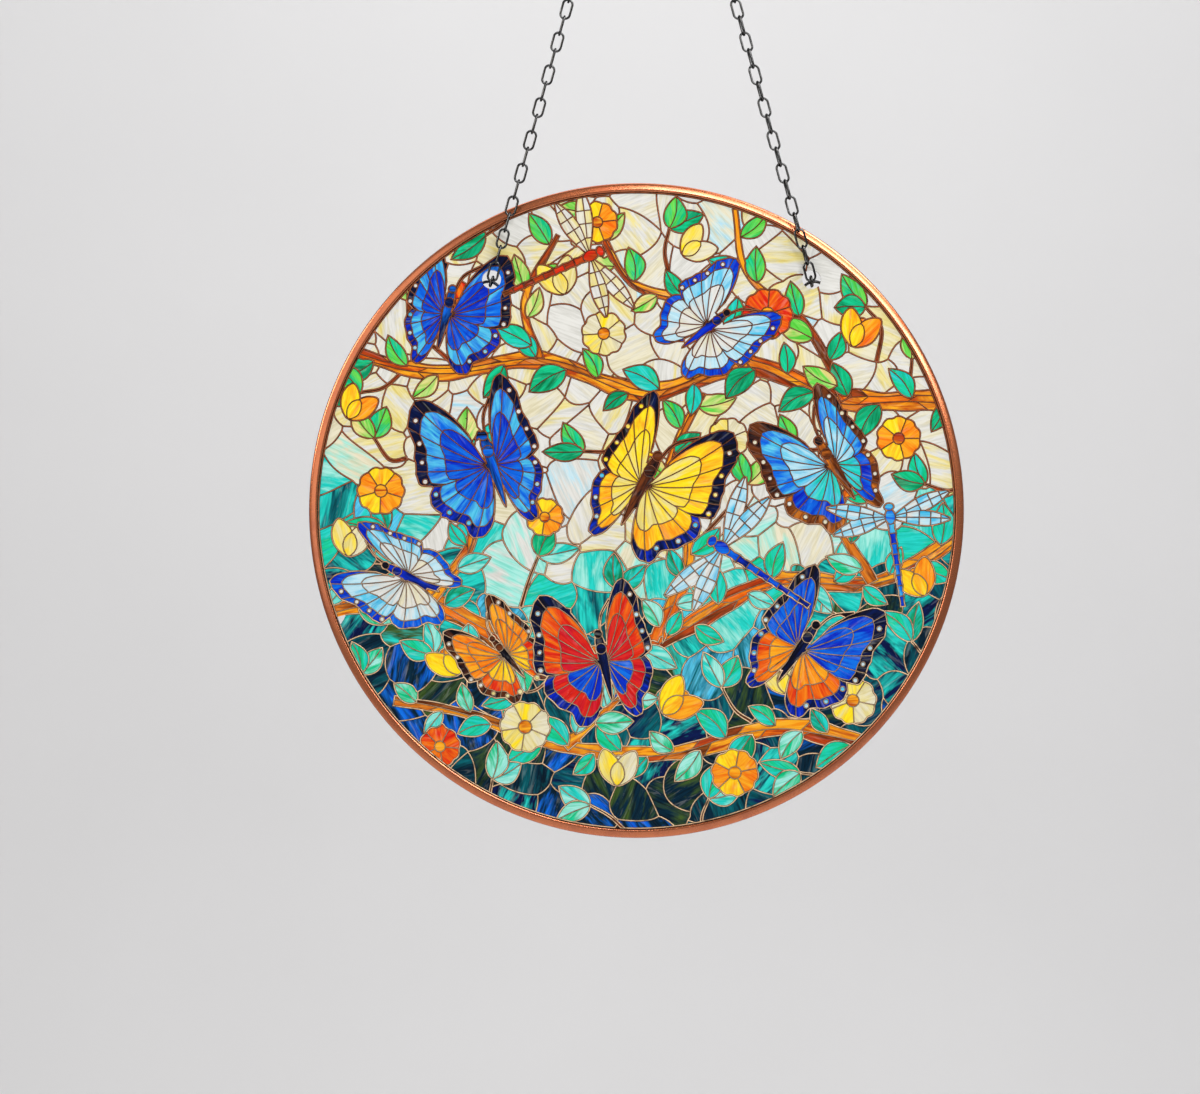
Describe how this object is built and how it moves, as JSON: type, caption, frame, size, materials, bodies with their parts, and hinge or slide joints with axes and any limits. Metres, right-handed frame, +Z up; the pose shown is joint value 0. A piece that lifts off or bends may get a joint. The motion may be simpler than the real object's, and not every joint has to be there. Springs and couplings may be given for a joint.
{
  "type": "faux stained glass suncatcher",
  "caption": "Round printed panel in a copper rim, hung on light chains from one ring, to catch the light in a window.",
  "frame": {"origin": "the top of the hanging ring's bore, where it bears on its hook, in the plane of the ring and the chains", "axes": "+Z up, the printed front faces -Y, +X to the right as seen from the front"},
  "size_m": [0.2, 0.0095, 0.3535],
  "materials": {
    "printed_panel": "clear sheet printed in streaky opalescent colours with raised-looking lead lines, glossy",
    "copper_rim": "polished copper, lightly darkened along its edges",
    "chain": "polished steel wire",
    "rings": "polished steel wire"
  },
  "bodies": {
    "root": {"printed_panel": "printed_panel", "copper_rim": "copper_rim", "chain_left": "chain", "chain_right": "chain", "hanging_ring": "rings", "stop_ring_left": "rings", "stop_ring_right": "rings"}
  },
  "joints": []
}
